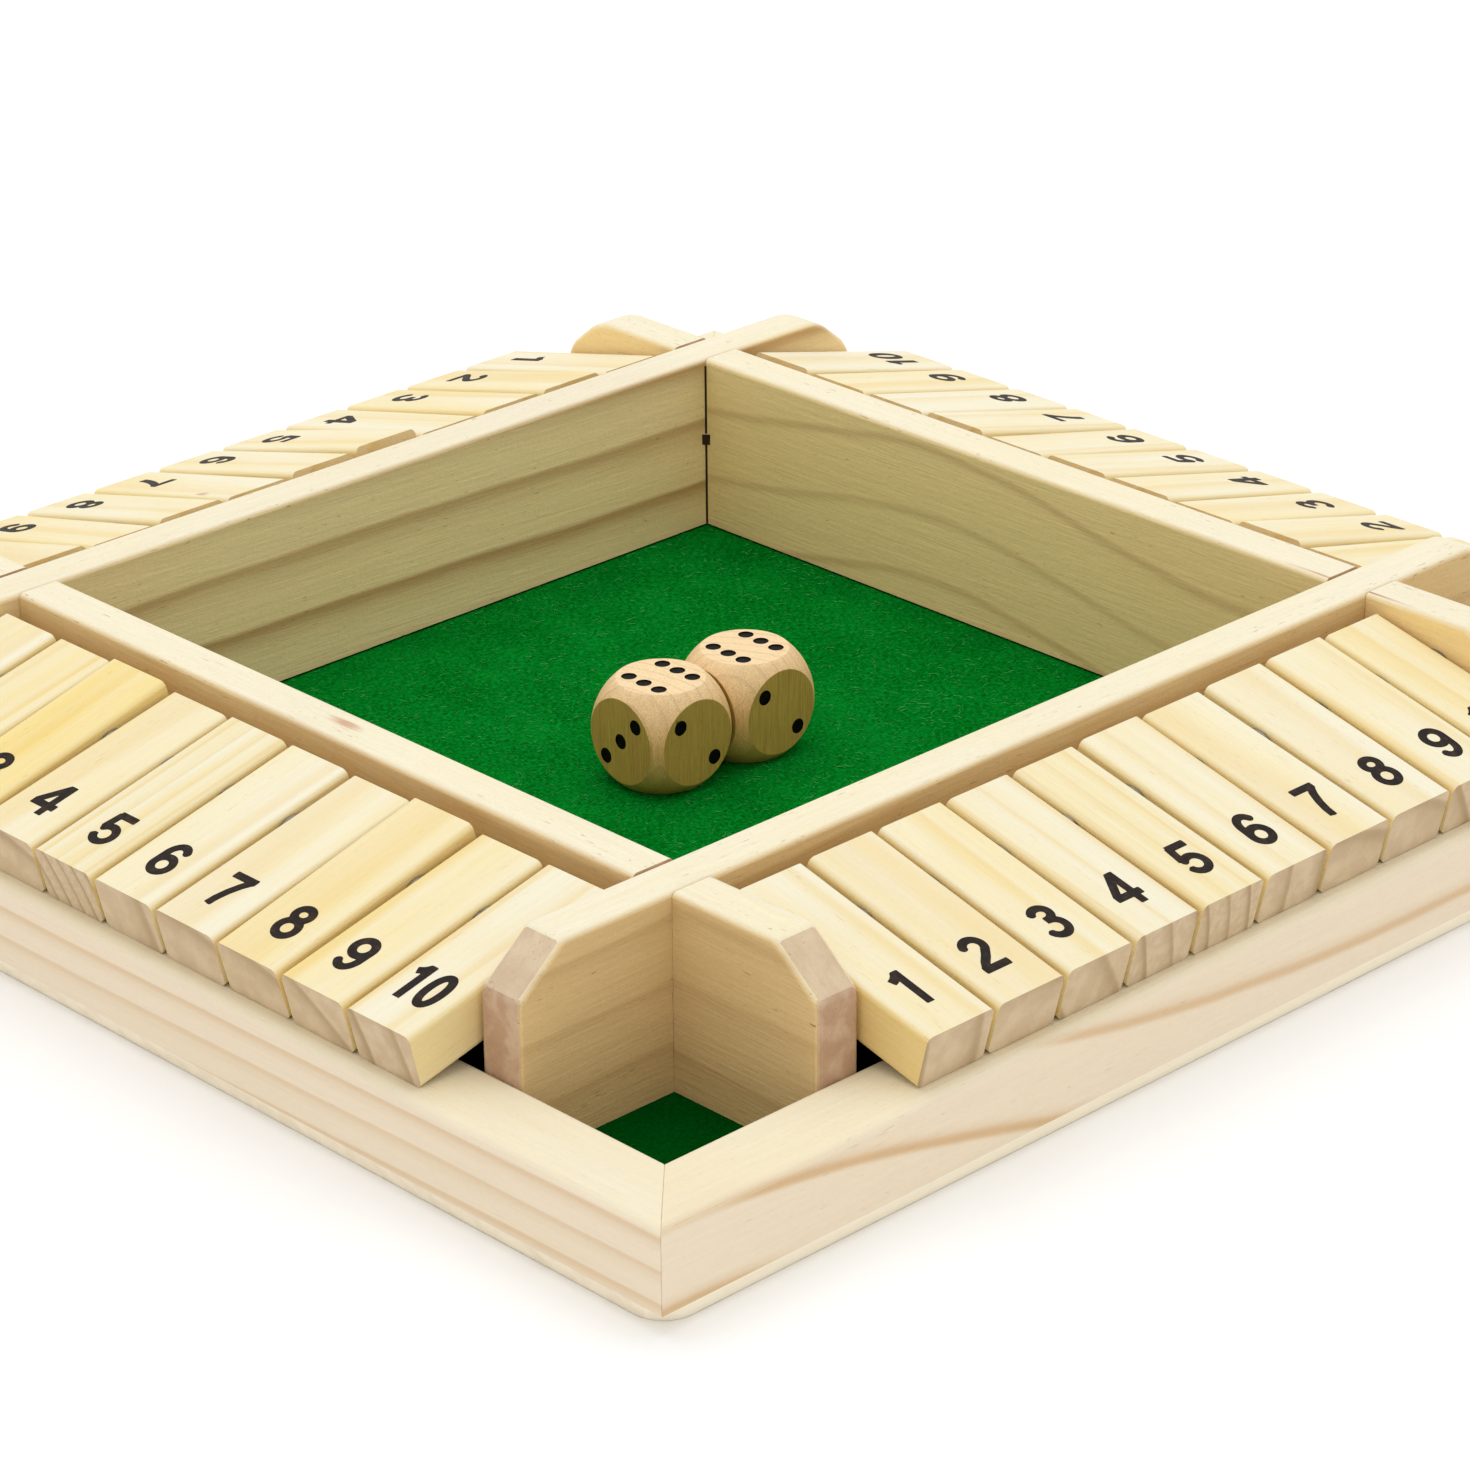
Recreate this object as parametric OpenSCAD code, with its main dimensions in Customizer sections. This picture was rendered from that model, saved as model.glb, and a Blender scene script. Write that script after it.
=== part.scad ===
// Four-player shut the box game in pine: a square dice tray with a row of ten numbered
// tiles along each side. Every tile swings on a steel rod. Open, it rests on the outer rail,
// and shut, it leans on the tray's divider. Origin: middle of the underside, +Z up, front is -Y.

/* [Tiles] */
// Tiles in each of the four rows
tile_count = 10; // [6:1:10]
// Width of a tile along its row
tile_w = 12.2; // [9:0.1:15]
// Thickness of a tile
tile_t = 8.2; // [6:0.1:9]
// Rounding of the four long edges of a tile
tile_round = 1; // [0.4:0.1:2.6]
// How far the numbered end stops short of the outside of the rail
tile_inset = 1.2; // [0:0.1:4]
// Space that the short end keeps from the divider and the rail as it swings
swing_gap = 1.4; // [0.6:0.1:3]
// Most that a tile rides above or below its neighbours, from uneven drilling
tile_scatter = 0.2; // [0:0.05:0.4]
// How much further the few proud tiles ride up
tile_proud = 0.5; // [0:0.05:0.6]

/* [Pivot rods] */
// Diameter of a rod
rod_d = 4; // [3:0.1:5]
// Radial clearance of the rod in a tile and in its blind holes
rod_slip = 0.05; // [0.02:0.01:0.1]
// Height of the rods above the top of the rails
rod_rise = 9.8; // [8:0.1:12]
// Depth of the blind holes that hold the rod ends
rod_bed = 4.8; // [3:0.1:6]
// Outer diameter of a washer
washer_d = 6.8; // [6.2:0.1:8]
// Thickness of a washer
washer_t = 0.6; // [0.4:0.1:1]
// Play between a tile and the washer on each side of it
tile_play = 0.15; // [0.1:0.05:0.4]

/* [Dividers] */
// Thickness of a divider board
divider_t = 7.4; // [7:0.1:10]
// Height of the divider tops above the rods
crest_rise = 8.2; // [7:0.1:11]
// Rounding of the long top edges of a divider
divider_round = 0.8; // [0.4:0.1:2]
// Length of the sloping cut on the top corners of the divider ends
ear_run = 8; // [3:0.1:9]
// How far the sloping cut comes down at the divider ends
ear_drop = 6.6; // [3:0.1:7]
// Gap left between the bottoms of two notches in a lap joint
lap_gap = 0.4; // [0.1:0.1:1]
// Clearance on each side of a lap notch
lap_slip = 0.05; // [0.02:0.01:0.15]

/* [Frame] */
// Clear width of the trough between a divider and its rail
well_w = 26.6; // [25:0.1:32]
// Width of a rail
rail_w = 12.2; // [9:0.1:16]
// Height of a rail above the base board
rail_h = 12; // [9:0.1:16]
// Rounding of the outer top edge of a rail
rail_round = 2; // [0.5:0.1:3]
// Rounding of the inner top edge of a rail
rail_inner_round = 1.2; // [0.3:0.1:1.5]
// Thickness of the base board
base_t = 3; // [2:0.1:5]
// Corner radius of the base board
base_corner = 5; // [2:0.5:8]
// Thickness of the felt
felt_t = 1; // [0.6:0.1:2]

/* [Brads] */
// Diameter of a brad's shank
brad_d = 1.2; // [0.8:0.1:1.6]
// Diameter of a brad's head
brad_head_d = 2.6; // [2:0.1:3.6]
// Thickness of a brad's head
brad_head_t = 0.6; // [0.4:0.1:1]
// Whole length of a brad
brad_l = 12; // [9:0.5:13]
// How deep the heads sit below the underside
brad_sink = 0.1; // [0:0.05:0.3]
// Distance of a rail's end brads from its middle
brad_reach = 80; // [60:1:85]
// Distance of a divider's brads from its middle
brad_spread = 32; // [15:1:45]

/* [Dice] */
// Distance across the flats of a die
die_size = 16; // [12:0.5:20]
// How far the ball that rounds a die would bulge past its flat faces
die_bulge = 2.4; // [1.6:0.1:3]
// Diameter of a pip
pip_d = 2.35; // [1.5:0.05:3]
// Depth of a pip
pip_depth = 0.15; // [0.05:0.05:0.5]
// Distance of the outer pips from the middle lines of a face
pip_reach = 3.3; // [2.5:0.1:3.6]
// Gap between the two dice as they lie
dice_gap = 0.3; // [0.1:0.1:6]
// How much nearer the front the second die lies than the first
dice_shift = 0.5; // [-4:0.1:4]
// How far the pair of dice is turned from square with the tray
dice_turn = -1.5; // [-30:0.5:30]
// Middle of the pair, to the right of the middle of the tray
dice_x = 0.8; // [-20:0.1:20]
// Middle of the pair, behind the middle of the tray
dice_y = -1.4; // [-20:0.1:20]

/* [Hidden] */
$fn = 64;
ROWS = ["front", "left", "back", "right"];
ROW_STEP = -90;
PROUD_TILES = [["left", 3], ["left", 8], ["back", 5], ["back", 6], ["front", 2]];

// Air left under the edge that a tile rests on, and round a brad in its hole
seat_gap = 0.05;
brad_slip = 0.02;

// How far a cutting shape runs past the face that it cuts
over_cut = 1;

// Size chain across the board, from the tiles outwards
tile_pitch = tile_w + washer_t + 2 * tile_play;
tray_w = tile_count * tile_pitch + washer_t;
tray_half = tray_w / 2;
well_half = tray_half + divider_t;
frame_half = well_half + well_w;
outer_half = frame_half + rail_w;
pivot_out = well_half + well_w / 2;

// Heights above the table
felt_top = base_t + felt_t;
rail_top = base_t + rail_h;
rod_z = rail_top + rod_rise;
divider_top = rod_z + crest_rise;
divider_h = divider_top - felt_top;

// A tile reaches from its pivot to the rail one way, and swings free of the divider the other
tile_reach = well_w / 2 + rail_w - tile_inset;
tile_tail = sqrt(pow(well_w / 2 - swing_gap, 2) - pow(tile_t / 2, 2));
washer_bore = rod_d + 4 * rod_slip;

function is_proud(row, i) = len([for (p = PROUD_TILES) if (p[0] == ROWS[row] && p[1] == i) 1]) > 0;

// How far a tile's middle lies above its bore, which differs a little from tile to tile
function tile_ride(row, i) =
    tile_scatter * sin(137 * i + 61 * row) + (is_proud(row, i) ? tile_proud : 0);

// Slope at which a tile rests with its lower edge on the rail
function rest_slope(ride) =
    let (below = tile_t / 2 - ride)
    asin((rod_rise - seat_gap) / norm([tile_reach, below])) - atan(below / tile_reach);

// Turns a piece drawn for the front row into the same piece of another row
module in_row(row) {
    rotate([0, 0, ROW_STEP * row]) children();
}

// A rod, bore or washer along X, centred on x = mid
module bar_x(d, len, mid = 0) {
    translate([mid - len / 2, 0, 0]) rotate([0, 90, 0]) cylinder(d = d, h = len);
}

// What is cut from a square corner of a section to round it; the corner is at the origin
module corner_cut(r) {
    difference() {
        translate([-over_cut, -over_cut]) square(r + over_cut);
        translate([r, r]) circle(r);
    }
}

// Places of the brads under one rail and one divider of the front side
module at_rail_brads() {
    for (x = [-brad_reach, 0, brad_reach]) translate([x, -(outer_half - rail_w / 2), 0]) children();
}

module at_divider_brads() {
    for (x = [-brad_spread, brad_spread]) translate([x, -(tray_half + divider_t / 2), 0]) children();
}

module at_all_brads() {
    for (row = [0:3]) in_row(row) {
        at_rail_brads() children();
        at_divider_brads() children();
    }
}

// One brad, driven up from the underside
module brad() {
    translate([0, 0, brad_sink]) {
        cylinder(d = brad_head_d, h = brad_head_t);
        cylinder(d = brad_d, h = brad_l);
    }
}

// The hole for a brad, open at the underside
module brad_hole() {
    translate([0, 0, -over_cut])
        cylinder(d = brad_head_d + 2 * brad_slip, h = over_cut + brad_sink + brad_head_t + brad_slip);
    cylinder(d = brad_d + 2 * brad_slip, h = brad_sink + brad_l + brad_slip);
}

// Thin board that closes the bottom, flush with the rails and round at the corners
module base_board() {
    color("antiquewhite") difference() {
        linear_extrude(base_t) difference() {
            square(2 * outer_half, center = true);
            for (row = [0:3]) in_row(row) translate([-outer_half, -outer_half]) corner_cut(base_corner);
        }
        at_all_brads() brad_hole();
    }
}

// One sheet of felt over the whole floor inside the rails; the dividers stand on it
module felt_sheet() {
    color("green") difference() {
        translate([-frame_half, -frame_half, base_t]) cube([2 * frame_half, 2 * frame_half, felt_t]);
        for (row = [0:3]) in_row(row) at_divider_brads() brad_hole();
    }
}

// Small steel brads through the base board into the rails and dividers
module base_brads() {
    color("darkgray") at_all_brads() brad();
}

// Low outer rail, mitred at both ends and rounded along its top edges
module rail(row) {
    color("wheat") in_row(row) translate([0, 0, base_t]) difference() {
        translate([outer_half, 0, 0]) rotate([90, 0, -90]) linear_extrude(2 * outer_half) difference() {
            translate([frame_half, 0]) square([rail_w, rail_h]);
            translate([outer_half, rail_h]) rotate([0, 0, 180]) corner_cut(rail_round);
            translate([frame_half, rail_h]) rotate([0, 0, -90]) corner_cut(rail_inner_round);
        }
        for (side = [-1, 1])
            scale([side, 1, 1]) translate([outer_half, -outer_half, -over_cut]) rotate([0, 0, 45])
                translate([0, -outer_half, 0]) cube([2 * rail_w, 2 * outer_half, rail_h + 2 * over_cut]);
        translate([0, 0, -base_t]) at_rail_brads() brad_hole();
    }
}

// What is cut from the top corner of a divider's end; the corner is at the origin
module ear_slope() {
    steepness = ear_drop / ear_run;
    rotate([90, 0, 0]) linear_extrude(divider_t + 2 * over_cut) polygon([
        [-ear_run - over_cut / steepness, over_cut],
        [over_cut, -ear_drop - over_cut * steepness],
        [over_cut, over_cut]
    ]);
}

// Divider board between tray and tiles, lapped with its two neighbours. Its ends run on to
// the rails as ears that carry the rods. The front and back boards lie over the other two.
module divider(row) {
    over = row % 2 == 0;
    notch_h = (divider_h + lap_gap) / 2;
    notch_z = over ? felt_top - over_cut : divider_top - notch_h;
    color("burlywood") in_row(row) difference() {
        translate([frame_half, 0, felt_top]) rotate([90, 0, -90]) linear_extrude(2 * frame_half)
            difference() {
                translate([tray_half, 0]) square([divider_t, divider_h]);
                translate([well_half, divider_h]) rotate([0, 0, 180]) corner_cut(divider_round);
                translate([tray_half, divider_h]) rotate([0, 0, -90]) corner_cut(divider_round);
            }
        for (side = [-1, 1]) {
            translate([side * (tray_half + divider_t / 2), -(tray_half + divider_t / 2), notch_z])
                translate([-divider_t / 2 - lap_slip, -divider_t, 0])
                    cube([divider_t + 2 * lap_slip, 2 * divider_t, notch_h + over_cut]);
            scale([side, 1, 1]) translate([frame_half, over_cut - tray_half, divider_top]) ear_slope();
            translate([side * pivot_out, -tray_half - rod_bed, rod_z]) rotate([-90, 0, 0])
                cylinder(r = rod_d / 2 + rod_slip, h = rod_bed + over_cut);
        }
        at_divider_brads() brad_hole();
    }
}

// Steel rod that a whole row of tiles swings on; its ends sit in blind holes in the ears
module pivot_rod(row) {
    color("silver") in_row(row) translate([0, -pivot_out, rod_z])
        bar_x(rod_d, tray_w + 2 * (rod_bed - rod_slip));
}

// Thin washers on the rods, one on each side of every tile
module rod_washers() {
    color("gray") for (row = [0:3], i = [0:tile_count]) in_row(row)
        translate([(i - tile_count / 2) * tile_pitch, -pivot_out, rod_z]) difference() {
            bar_x(washer_d, washer_t);
            bar_x(washer_bore, washer_t + 2 * over_cut);
        }
}

// Numbered tile, drawn around its bore and then laid down on the rail
module tile(row, i) {
    ride = tile_ride(row, i);
    color("moccasin") in_row(row)
        translate([(i - (tile_count + 1) / 2) * tile_pitch, -pivot_out, rod_z])
            rotate([rest_slope(ride), 0, 0]) difference() {
                translate([0, tile_tail, ride]) rotate([90, 0, 0])
                    linear_extrude(tile_reach + tile_tail) difference() {
                        square([tile_w, tile_t], center = true);
                        for (a = [0, 180]) rotate(a) {
                            translate([-tile_w / 2, -tile_t / 2]) corner_cut(tile_round);
                            translate([tile_w / 2, -tile_t / 2]) rotate(90) corner_cut(tile_round);
                        }
                    }
                bar_x(rod_d + 2 * rod_slip, tile_w + 2 * over_cut);
            }
}

// The pips of one face, which points up, as shallow cups
module pips(n) {
    spots = concat(
        n % 2 == 1 ? [[0, 0]] : [],
        n > 1 ? [[-1, 1], [1, -1]] : [],
        n > 3 ? [[1, 1], [-1, -1]] : [],
        n == 6 ? [[-1, 0], [1, 0]] : []
    );
    for (p = spots)
        translate([p[0] * pip_reach, p[1] * pip_reach, die_size / 2 - pip_depth])
            cylinder(d = pip_d, h = die_size);
}

// Wooden die: a cube rounded by a ball, with six up, two to the front and three to the left
module die(side) {
    beside = side * (die_size + dice_gap) / 2;
    color("navajowhite") translate([dice_x, dice_y, felt_top + die_size / 2])
        rotate([0, 0, dice_turn]) translate([beside, -side * dice_shift / 2, 0]) difference() {
            intersection() {
                cube(die_size, center = true);
                sphere(d = die_size + 2 * die_bulge);
            }
            pips(6);
            rotate([180, 0, 0]) pips(1);
            rotate([90, 0, 0]) pips(2);
            rotate([-90, 0, 0]) pips(5);
            rotate([0, -90, 0]) pips(3);
            rotate([0, 90, 0]) pips(4);
        }
}

base_board();
felt_sheet();
base_brads();
for (row = [0:3]) {
    rail(row);
    divider(row);
    pivot_rod(row);
}
rod_washers();
for (row = [0:3], i = [1:tile_count]) {
    tile(row, i);
}
die(-1);  // die_1
die(1);  // die_2
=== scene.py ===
import math
import random

import bmesh
import bpy
import numpy as np
from mathutils import Matrix, Vector


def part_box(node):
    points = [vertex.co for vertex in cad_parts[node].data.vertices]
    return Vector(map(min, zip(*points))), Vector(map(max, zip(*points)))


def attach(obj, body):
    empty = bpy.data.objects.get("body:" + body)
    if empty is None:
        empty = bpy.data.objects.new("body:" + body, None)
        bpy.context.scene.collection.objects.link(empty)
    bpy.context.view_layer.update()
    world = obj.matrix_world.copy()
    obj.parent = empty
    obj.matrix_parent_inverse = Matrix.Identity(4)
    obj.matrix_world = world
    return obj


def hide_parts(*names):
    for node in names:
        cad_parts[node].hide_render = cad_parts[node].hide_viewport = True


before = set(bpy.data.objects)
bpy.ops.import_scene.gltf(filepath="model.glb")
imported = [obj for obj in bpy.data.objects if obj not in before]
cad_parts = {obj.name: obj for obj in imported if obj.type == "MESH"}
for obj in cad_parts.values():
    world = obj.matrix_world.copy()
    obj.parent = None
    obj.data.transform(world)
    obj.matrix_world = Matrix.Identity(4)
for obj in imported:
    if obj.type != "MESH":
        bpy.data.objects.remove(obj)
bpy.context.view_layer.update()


# ------------------------------------------------------------------ Base board
# The real piece is one thin pine panel, sawn flush with the rails and rounded at its four
# corners. It closes the bottom, glued and held by brads. Its edge is paler than the rails. Along
# the very bottom it is painted grey: painted shade where it meets the table.

def shown(name, data):
    """A new object in the scene."""
    item = bpy.data.objects.new(name, data)
    bpy.context.scene.collection.objects.link(item)
    return item


def mesh_of(name, work):
    """The mesh of a piece of work, which ends here."""
    mesh = bpy.data.meshes.new(name)
    work.to_mesh(mesh)
    work.free()
    return mesh


def trimmed(mesh, outline):
    """The part of one closed mesh that lies inside another."""
    pair = [shown("trimming", data) for data in (mesh, outline)]
    cut = pair[0].modifiers.new("trim", "BOOLEAN")
    cut.operation, cut.solver, cut.object = "INTERSECT", "EXACT", pair[1]
    kept = pair[0].evaluated_get(bpy.context.evaluated_depsgraph_get())
    result = bpy.data.meshes.new_from_object(kept)
    for item in pair:
        bpy.data.objects.remove(item)
    return result


def smooth(piece, angle=35):
    """Rounded shading, broken only where faces meet at more than an angle in degrees."""
    piece.data.shade_smooth()
    piece.data.set_sharp_from_angle(angle=math.radians(angle))
    piece.modifiers.new("even shading", "WEIGHTED_NORMAL").keep_sharp = True


SAME_SPOT = 1e-6                                         # in metres
SAME_PLANE, SHARP = math.radians(0.2), math.radians(33)  # angles between two faces


def broken_edges(name, node, soften, spare=None, steps=2, outline=None):
    """A copy of a CAD node as it leaves the workshop, with its sharp edges taken off.

    Where an outline is given, a closed mesh, only what lies inside it is kept. Edges that spare
    picks stay sharp.
    """
    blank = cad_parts[node].data
    if outline:
        blank = trimmed(blank.copy(), outline)
    work = bmesh.new()
    work.from_mesh(blank)
    bmesh.ops.remove_doubles(work, verts=work.verts, dist=SAME_SPOT)
    bmesh.ops.dissolve_limit(
        work, angle_limit=SAME_PLANE, verts=work.verts, edges=work.edges, delimit=set())
    sharp = [
        edge for edge in work.edges
        if len(edge.link_faces) == 2 and edge.calc_face_angle(0) > SHARP
        and not (spare and spare(edge))]
    bmesh.ops.bevel(
        work, geom=sharp, offset=soften, segments=steps, profile=0.5,
        affect="EDGES", clamp_overlap=True)
    piece = shown(name, mesh_of(name, work))
    smooth(piece)
    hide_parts(node)
    return piece


def keep_values(piece, name, domain, values):
    """Stores threes of values on a piece's mesh, for its material to read."""
    layer = piece.data.attributes.new(name, "FLOAT_VECTOR", domain)
    flat = np.asarray(values, dtype=np.float32).ravel()
    layer.data.foreach_set("vector", flat)


def limited(value):
    """A value held between 0 and 1."""
    return min(max(value, 0.0), 1.0)


RING = 8.0                         # width of a ring in the log's own measure
RINGS_OUT = 11                     # rings between the pith and the middle of a piece
LOG_STEP = 431.0                   # how far apart the pieces lie along their log
NO_MARK = ((0, 0, 400), (1, 1))    # a mark far outside every piece
MARK_DEEP = 2.5                    # how thick a mark is, in millimetres
STEEP_END, STEEP_COVER = 0.8, 0.6  # an end less square than this is end grain only in part
FLAT_FROM, FLAT_OVER = 0.3, 0.65   # from where on, and over what span, a face looks upwards


def from_the_log(piece, grain, crown, serial, spacing, line, slope=0.0, swell=(0, 40, 0), tone=0.3,
                 side=0.0, middle=None, rings=(0.6, 0.45), side_shade=0.0, mark=NO_MARK, cut=0.8,
                 top_way=None, back_end=1.0):
    """Gives each point its place in the tree that the piece was sawn from.

    grain runs along the fibres and crown away from the pith. The dark rings lie spacing
    millimetres apart, and one passes line millimetres above the middle of the piece. It climbs by
    slope, and over a swell, given as its place along the piece, its width and its height. rings
    holds how strong the rings are and how far they fade. tone is how yellow the wood is, and side
    how far the pith lies to the side. side_shade is painted shade: it darkens the faces that look
    away from crown, or from top_way where that is given. A mark, such as a knot, is given as its
    place from the middle and its length and width. A face shows end grain where it is turned to the
    grain by more than cut, less of it on a slope and, by back_end, on the end that grain points away
    from; a back_end below 1 paints that end paler, as painted light.
    """
    count = len(piece.data.vertices)
    points = np.empty(count * 3)
    piece.data.vertices.foreach_get("co", points)
    points = points.reshape(-1, 3) * 1000
    if middle is None:
        middle = (points.min(0) + points.max(0)) / 2
    grain, crown = Vector(grain).normalized(), Vector(crown).normalized()
    top_way = crown if top_way is None else top_way
    size = RING / spacing
    shift = LOG_STEP * serial

    def in_log(spots):
        along, across, high = (
            spots @ np.array(way) for way in (grain, crown.cross(grain), crown))
        return np.stack([
            along + shift, (across + side) * size,
            (high - slope * along - line) * size + RING * RINGS_OUT], 1)

    for name, values in (
            ("log", in_log(points - np.array(middle))),
            ("swell", [(swell[0] + shift, swell[1], swell[2] * size)] * count),
            ("mark", [in_log(np.array([mark[0]]))[0]] * count),
            ("mark size", [(mark[1][0] / 2, mark[1][1] * size / 2, MARK_DEEP * size)] * count),
            ("cast", [(tone, side_shade, rings[0])] * count)):
        keep_values(piece, name, "POINT", values)
    facing = []
    for face in piece.data.polygons:
        onto, upward = face.normal.dot(grain), abs(face.normal.dot(top_way))
        end = 0.0 if abs(onto) < cut else STEEP_COVER if abs(onto) < STEEP_END else 1.0
        # a back_end below 1 paints the back end paler: painted light
        end *= back_end if onto < 0 else 1.0
        facing.append((end, limited((upward - FLAT_FROM) / FLAT_OVER), rings[1]))
    keep_values(piece, "facing", "FACE", facing)


def shade(red, green, blue):
    """A colour as it is read from a screen, made linear for a shader socket."""
    parts = [v / 255 for v in (red, green, blue)]
    return tuple(
        v / 12.92 if v <= 0.04045 else ((v + 0.055) / 1.055) ** 2.4 for v in parts) + (1.0,)


def feed(tree, socket, value):
    """Links a socket to another one, or gives it a plain value."""
    if isinstance(value, bpy.types.NodeSocket):
        tree.links.new(value, socket)
    else:
        socket.default_value = value


def calc(tree, how, *values, clamp=False):
    node = tree.nodes.new("ShaderNodeMath")
    node.operation = how
    node.use_clamp = clamp
    for socket, value in zip(node.inputs, values):
        feed(tree, socket, value)
    return node.outputs[0]


def add(tree, one, other, clamp=False):
    return calc(tree, "ADD", one, other, clamp=clamp)


def less(tree, one, other):
    return calc(tree, "SUBTRACT", one, other)


def times(tree, one, other, clamp=False):
    return calc(tree, "MULTIPLY", one, other, clamp=clamp)


def vector_math(tree, how, *values):
    node = tree.nodes.new("ShaderNodeVectorMath")
    node.operation = how
    sockets = (node.inputs[0], node.inputs["Scale"]) if how == "SCALE" else node.inputs
    for socket, value in zip(sockets, values):
        feed(tree, socket, value)
    return node.outputs["Value" if how == "LENGTH" else "Vector"]


def parts_of(tree, vector):
    node = tree.nodes.new("ShaderNodeSeparateXYZ")
    feed(tree, node.inputs[0], vector)
    return node.outputs[:3]


def blend_of(tree, amount, first, second, how="MIX"):
    node = tree.nodes.new("ShaderNodeMix")
    node.data_type = "RGBA"
    node.blend_type = how
    node.clamp_factor = True
    for label, value in (("Factor", amount), ("A", first), ("B", second)):
        feed(tree, node.inputs[label], value)
    return node.outputs["Result"]


def ramp(tree, value, low, high, start=0.0, stop=1.0, kind="SMOOTHSTEP"):
    """A value carried over from the span low to high to the span start to stop."""
    node = tree.nodes.new("ShaderNodeMapRange")
    node.interpolation_type = kind
    for socket, number in zip(node.inputs[:5], (value, low, high, start, stop)):
        feed(tree, socket, number)
    return node.outputs[0]


def grit(tree, place, sizes, detail=2.0):
    """Noise between 0 and 1 whose lumps have these three sizes, in the units of place."""
    node = tree.nodes.new("ShaderNodeTexNoise")
    feed(tree, node.inputs["Vector"],
         vector_math(tree, "MULTIPLY", place, tuple(1 / size for size in sizes)))
    for label, value in (("Scale", 1.0), ("Detail", detail), ("Roughness", 0.5)):
        node.inputs[label].default_value = value
    return node.outputs["Fac"]


def sway(tree, place, sizes, detail=2.0):
    """The same noise, centred on 0."""
    return less(tree, grit(tree, place, sizes, detail), 0.5)


def stored(tree, name):
    node = tree.nodes.new("ShaderNodeAttribute")
    node.attribute_name = name
    return node.outputs["Vector"]


def own_place(tree, factor=1.0):
    """Where a point lies on its object, in metres times factor."""
    place = tree.nodes.new("ShaderNodeTexCoord").outputs["Object"]
    return place if factor == 1.0 else vector_math(tree, "SCALE", place, factor)


def new_group(name, inputs):
    """An empty node group that puts out a colour, a roughness and a height."""
    tree = bpy.data.node_groups.new(name, "ShaderNodeTree")
    for label, kind, value in inputs:
        socket = tree.interface.new_socket(label, in_out="INPUT", socket_type="NodeSocket" + kind)
        socket.default_value = value
    for label, kind in (("Colour", "Color"), ("Roughness", "Float"), ("Height", "Float")):
        tree.interface.new_socket(label, in_out="OUTPUT", socket_type="NodeSocket" + kind)
    given = tree.nodes.new("NodeGroupInput").outputs
    taken = tree.nodes.new("NodeGroupOutput").inputs
    return tree, given, taken


# Sawn and sanded pine: growth rings with one sharp side, streaks of yellower wood, painted shade
# on the sides, fibres, short resin dashes and, here and there, a knot or another mark. A ring is
# darkest at RING_PEAK of its width.
RING_PEAK = 0.88
pine, given, taken = new_group(
    "sawn pine",
    [("Pale wood", "Color", shade(232, 220, 190)), ("Yellow wood", "Color", shade(230, 208, 150)),
     ("Ring wood", "Color", shade(205, 165, 112)), ("Shaded side wood", "Color", shade(205, 175, 115)),
     ("Mark wood", "Color", shade(176, 124, 86)), ("Flat fading", "Float", 0.65),
     ("Wander", "Float", 1.6), ("Streaks", "Float", 0.8), ("Fibres", "Float", 0.12),
     ("Fuzz", "Float", 0.1), ("Dashes", "Float", 0.5), ("End wood", "Color", shade(228, 208, 190)),
     ("End cover", "Float", 0.6), ("End rings", "Float", 1.6)])
log = stored(pine, "log")
end, flat, softness = parts_of(pine, stored(pine, "facing"))
tone, side_shade, strength = parts_of(pine, stored(pine, "cast"))
swell_at, swell_wide, swell_high = parts_of(pine, stored(pine, "swell"))
along, across, outward = parts_of(pine, log)

# the rings, counted from the pith
offset = calc(pine, "DIVIDE", less(pine, along, swell_at), swell_wide)
hill = calc(pine, "EXPONENT", times(pine, times(pine, offset, offset), -1.0))
out = less(pine, outward, times(pine, hill, swell_high))
radius = calc(pine, "SQRT", add(pine, times(pine, across, across), times(pine, out, out)))
wander = times(pine, add(pine, times(pine, sway(pine, log, (95, 26, 26)), 2.2),
                         times(pine, sway(pine, log, (24, 6, 6)), 0.5)), given["Wander"])
turns = add(pine, calc(pine, "DIVIDE", add(pine, radius, wander), RING), RING_PEAK)
ring_number = calc(pine, "FLOOR", turns)
within = less(pine, turns, ring_number)
chance = pine.nodes.new("ShaderNodeTexWhiteNoise")
chance.noise_dimensions = "1D"
feed(pine, chance.inputs["W"], times(pine, ring_number, 1.37))
vigour = ramp(pine, chance.outputs["Value"], 0.0, 1.0, 0.6, 1.0, "LINEAR")
broad = ramp(pine, within, less(pine, RING_PEAK, softness), RING_PEAK)
narrow = ramp(pine, within, less(pine, 0.84, times(pine, softness, 0.25)), RING_PEAK)
rising = add(pine, times(pine, calc(pine, "POWER", broad, 1.4), 0.6), times(pine, narrow, 0.4))
late = times(pine, times(pine, rising, ramp(pine, within, 0.9, 0.99, 1.0, 0.0)), vigour)

# yellow streaks, painted shade on the sides, and end grain
streak = sway(pine, log, (170, 2.4, 2.4), 3.0)
fibre = sway(pine, log, (15, 0.5, 0.5))
fine = sway(pine, log, (5, 0.2, 0.2), 1.0)
fuzz = sway(pine, log, (0.6, 0.35, 0.35))
cloud = sway(pine, log, (38, 11, 11))
yellow = add(pine, tone, times(pine, add(pine, streak, cloud), given["Streaks"]), clamp=True)
colour = blend_of(pine, yellow, given["Pale wood"], given["Yellow wood"])
colour = blend_of(pine, times(pine, side_shade, less(pine, 1.0, flat)), colour, given["Shaded side wood"])
end_wood = blend_of(pine, ramp(pine, streak, -0.12, 0.16), given["End wood"],
                    blend_of(pine, 0.35, given["End wood"], shade(226, 206, 176)))
colour = blend_of(pine, times(pine, end, given["End cover"]), colour, end_wood)

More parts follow.
